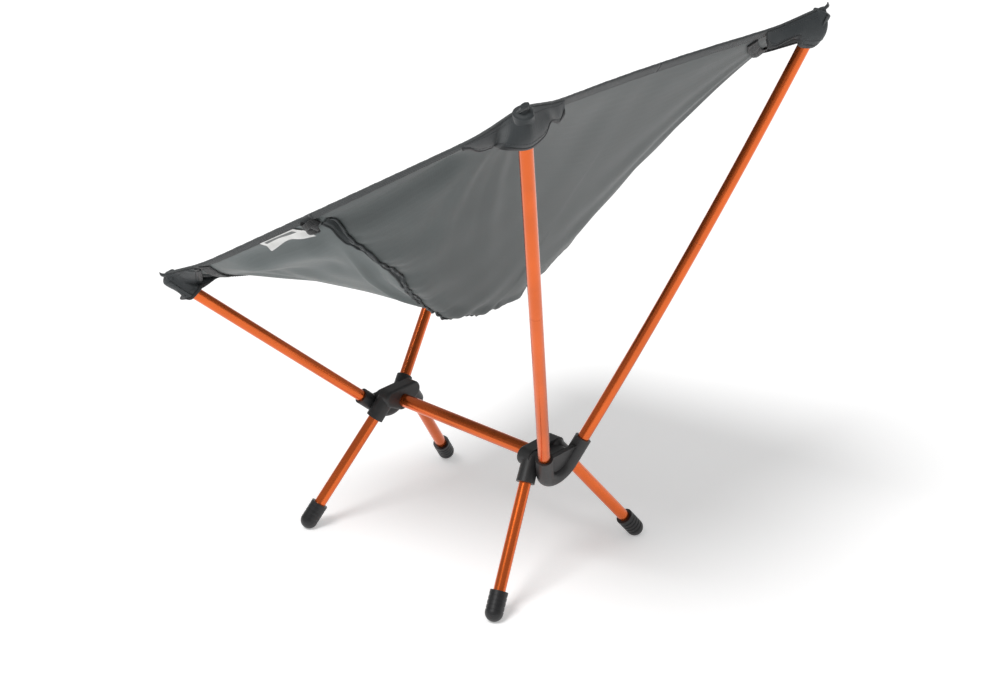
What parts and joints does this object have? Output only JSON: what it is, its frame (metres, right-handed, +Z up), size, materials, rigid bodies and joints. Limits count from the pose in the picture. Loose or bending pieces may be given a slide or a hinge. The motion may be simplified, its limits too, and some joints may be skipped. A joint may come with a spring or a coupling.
{
  "type": "backpacking chair",
  "caption": "Ultralight pole-frame camp chair: two plastic hubs on a spine tube, splayed legs with rubber feet, angled uprights and a hung fabric bucket sling.",
  "frame": {"origin": "on the floor under the middle of the chair's bounding box", "axes": "+Z up; the sitter faces -Y; +X is the sitter's left hand; the chair is mirror-symmetric left to right"},
  "size_m": [0.4874, 0.5045, 0.6085],
  "materials": {
    "orange_tube": "glossy orange anodised",
    "bare_aluminium": "satin",
    "hub_plastic": "glass-filled nylon, semi-gloss",
    "cap_plastic": "smooth",
    "foot_rubber": "moulded, ribbed",
    "elastic_cord": "braided sheath",
    "seat_fabric": "fine ripstop weave",
    "back_fabric": "fine ripstop weave",
    "binding_fabric": "folded grosgrain tape",
    "patch_fabric": "tight reinforced weave",
    "black_webbing": "woven webbing",
    "label_fabric": "satin label tape"
  },
  "bodies": {
    "frame": {"spine_tube": "orange_tube", "spine_cord": "elastic_cord", "front_hub": "hub_plastic", "rear_hub": "hub_plastic", "front_hem": "binding_fabric", "top_binding": "binding_fabric", "seat_panel": "seat_fabric", "back_panel": "back_fabric", "seam_tape": "binding_fabric", "care_label": "label_fabric", "front_upright_left": "orange_tube", "rear_upright_lower_left": "orange_tube", "rear_upright_upper_left": "orange_tube", "rear_ferrule_left": "bare_aluminium", "side_binding_left": "binding_fabric", "seam_anchor_left": "black_webbing", "front_upright_cord_left": "elastic_cord", "front_leg_cord_left": "elastic_cord", "front_tip_cap_left": "cap_plastic", "front_corner_webbing_left": "black_webbing", "rear_upright_cord_left": "elastic_cord", "rear_leg_cord_left": "elastic_cord", "rear_tip_cap_left": "cap_plastic", "rear_corner_webbing_left": "black_webbing", "front_upright_right": "orange_tube", "rear_upright_lower_right": "orange_tube", "rear_upright_upper_right": "orange_tube", "rear_ferrule_right": "bare_aluminium", "side_binding_right": "binding_fabric", "seam_anchor_right": "black_webbing", "front_upright_cord_right": "elastic_cord", "front_leg_cord_right": "elastic_cord", "front_tip_cap_right": "cap_plastic", "front_corner_webbing_right": "black_webbing", "rear_upright_cord_right": "elastic_cord", "rear_leg_cord_right": "elastic_cord", "rear_tip_cap_right": "cap_plastic", "rear_corner_webbing_right": "black_webbing"},
    "front_leg_left": {"front_leg_tube_left": "orange_tube", "front_foot_left": "foot_rubber", "front_leg_cord_end_left": "elastic_cord"},
    "front_corner_left": {"front_pocket_left": "patch_fabric"},
    "rear_leg_left": {"rear_leg_tube_left": "orange_tube", "rear_foot_left": "foot_rubber", "rear_leg_cord_end_left": "elastic_cord"},
    "rear_corner_left": {"rear_pocket_left": "patch_fabric"},
    "front_leg_right": {"front_leg_tube_right": "orange_tube", "front_foot_right": "foot_rubber", "front_leg_cord_end_right": "elastic_cord"},
    "front_corner_right": {"front_pocket_right": "patch_fabric"},
    "rear_leg_right": {"rear_leg_tube_right": "orange_tube", "rear_foot_right": "foot_rubber", "rear_leg_cord_end_right": "elastic_cord"},
    "rear_corner_right": {"rear_pocket_right": "patch_fabric"}
  },
  "joints": [
    {"name": "front_leg_left_pull", "type": "slide", "parent": "frame", "child": "front_leg_left", "axis": [0.579, -0.2096, -0.7879], "range_m": [0, 0.04], "stiffness_N_per_m": 90, "springref_m": -0.05},
    {"name": "front_pocket_left_slip", "type": "slide", "parent": "frame", "child": "front_corner_left", "axis": [0.7062, -0.248, 0.6631], "range_m": [0, 0.042]},
    {"name": "rear_leg_left_pull", "type": "slide", "parent": "frame", "child": "rear_leg_left", "axis": [0.5901, 0.2083, -0.78], "range_m": [0, 0.04], "stiffness_N_per_m": 90, "springref_m": -0.05},
    {"name": "rear_pocket_left_slip", "type": "slide", "parent": "frame", "child": "rear_corner_left", "axis": [0.3591, 0.2535, 0.8982], "range_m": [0, 0.042]},
    {"name": "front_leg_right_pull", "type": "slide", "parent": "frame", "child": "front_leg_right", "axis": [-0.579, -0.2096, -0.7879], "range_m": [0, 0.04], "stiffness_N_per_m": 90, "springref_m": -0.05},
    {"name": "front_pocket_right_slip", "type": "slide", "parent": "frame", "child": "front_corner_right", "axis": [-0.7062, -0.248, 0.6631], "range_m": [0, 0.042]},
    {"name": "rear_leg_right_pull", "type": "slide", "parent": "frame", "child": "rear_leg_right", "axis": [-0.5901, 0.2083, -0.78], "range_m": [0, 0.04], "stiffness_N_per_m": 90, "springref_m": -0.05},
    {"name": "rear_pocket_right_slip", "type": "slide", "parent": "frame", "child": "rear_corner_right", "axis": [-0.3591, 0.2535, 0.8982], "range_m": [0, 0.042]}
  ]
}
